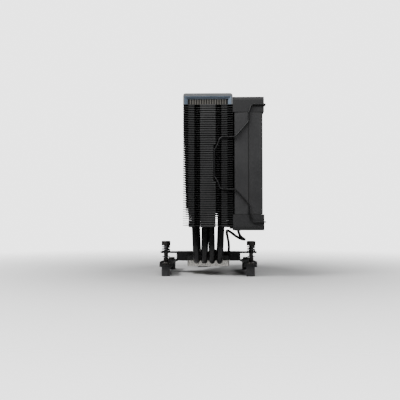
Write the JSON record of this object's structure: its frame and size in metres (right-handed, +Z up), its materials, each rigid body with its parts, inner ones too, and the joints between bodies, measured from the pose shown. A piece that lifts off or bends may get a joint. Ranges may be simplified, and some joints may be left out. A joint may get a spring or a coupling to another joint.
{
  "type": "cpu tower cooler",
  "caption": "Tower heatsink on heat pipes with one side-mounted fan held by wire clips, and a sprung crossbar that clamps it over a processor.",
  "frame": {"origin": "the board's top face, under the centre of the processor and of the square of board holes", "axes": "+Z up from the board, +X from the fin stack to the fan along the airflow axis, Y across the fins"},
  "size_m": [0.0998, 0.1734, 0.165],
  "materials": {
    "nickel_plate": "nickel-plated copper, fine ground contact face",
    "black_aluminium": "black coating on folded aluminium sheet, satin",
    "black_pipe": "black coating on copper tube, semi-gloss",
    "cover_plastic": "fine moulded texture, satin",
    "trim_blue": "blue-grey satin plastic",
    "grille_plastic": "dark warm grey moulded plastic",
    "fan_plastic": "black glass-filled plastic, fine moulded texture",
    "blade_plastic": "black moulded plastic, slightly glossier",
    "pad_rubber": "black soft rubber",
    "black_steel": "black coated steel, satin",
    "spring_steel": "dark plated spring wire",
    "screw_steel": "black nickel plated screws",
    "motor_steel": "plain steel",
    "magnet": "bonded ferrite, dull",
    "winding": "enamelled copper wire",
    "bearing_bronze": "sintered bronze",
    "circuit_board": "green circuit board",
    "cable_sleeve": "black woven sleeve",
    "connector_plastic": "black moulded plastic",
    "contact_metal": "plated contacts",
    "standoff_plastic": "black moulded plastic"
  },
  "bodies": {
    "tower": {"cold_plate": "nickel_plate", "base_cover": "black_aluminium", "heat_pipe_1": "black_pipe", "heat_pipe_2": "black_pipe", "heat_pipe_3": "black_pipe", "heat_pipe_4": "black_pipe", "cooling_fins": "black_aluminium", "top_cover": "cover_plastic", "cover_trim": "trim_blue", "cover_grille": "grille_plastic", "fan_frame": "fan_plastic", "fan_pad_top_near": "pad_rubber", "fan_pad_top_far": "pad_rubber", "fan_pad_bottom_near": "pad_rubber", "fan_pad_bottom_far": "pad_rubber", "bearing_sleeve": "bearing_bronze", "stator_core": "motor_steel", "stator_coils": "winding", "motor_board": "circuit_board", "crossbar": "black_steel", "crossbar_screws": "screw_steel", "seat_washers": "screw_steel", "rail_posts": "screw_steel", "standoffs": "standoff_plastic", "rail_screws": "screw_steel", "rail_left": "black_steel", "rail_right": "black_steel", "strut_lead": "cable_sleeve", "cable_grommet": "pad_rubber", "fan_cable": "cable_sleeve", "fan_connector": "connector_plastic", "connector_contacts": "contact_metal", "screw_spring_left": "spring_steel", "screw_spring_right": "spring_steel"},
    "rotor": {"impeller": "blade_plastic", "rotor_cup": "motor_steel", "rotor_magnet": "magnet", "rotor_shaft": "motor_steel", "shaft_retainer": "connector_plastic"},
    "clip_near": {"fan_clip_near": "black_steel"},
    "clip_far": {"fan_clip_far": "black_steel"},
    "spring_cap_left": {"spring_cap_left": "screw_steel"},
    "spring_screw_left": {"spring_screw_left": "screw_steel", "retaining_ring_left": "spring_steel"},
    "spring_cap_right": {"spring_cap_right": "screw_steel"},
    "spring_screw_right": {"spring_screw_right": "screw_steel", "retaining_ring_right": "spring_steel"}
  },
  "joints": [
    {"name": "fan_spin", "type": "hinge", "parent": "tower", "child": "rotor", "pos_m": [0.03635, 0, 0.1022], "axis": [1, 0, 0], "continuous": true},
    {"name": "clip_near_release", "type": "hinge", "parent": "tower", "child": "clip_near", "pos_m": [0.0512, -0.0525, 0.1022], "axis": [0, 0, 1], "range_deg": [0, 15]},
    {"name": "clip_far_release", "type": "hinge", "parent": "tower", "child": "clip_far", "pos_m": [0.0512, 0.0525, 0.1022], "axis": [0, 0, -1], "range_deg": [0, 15]},
    {"name": "screw_rise_left", "type": "slide", "parent": "tower", "child": "spring_cap_left", "axis": [0, 0, 1], "range_m": [0, 0.003], "deforming": ["screw_spring_left"]},
    {"name": "screw_turn_left", "type": "hinge", "parent": "spring_cap_left", "child": "spring_screw_left", "pos_m": [-0.042, 0, 0.0289], "axis": [0, 0, 1], "range_deg": [0, 2160]},
    {"name": "screw_rise_right", "type": "slide", "parent": "tower", "child": "spring_cap_right", "axis": [0, 0, 1], "range_m": [0, 0.003], "deforming": ["screw_spring_right"]},
    {"name": "screw_turn_right", "type": "hinge", "parent": "spring_cap_right", "child": "spring_screw_right", "pos_m": [0.042, 0, 0.0289], "axis": [0, 0, 1], "range_deg": [0, 2160]}
  ],
  "couplings": [
    {"joint": "screw_turn_left", "follows": "screw_rise_left", "rad_per_m": 12566},
    {"joint": "screw_turn_right", "follows": "screw_rise_right", "rad_per_m": 12566}
  ]
}
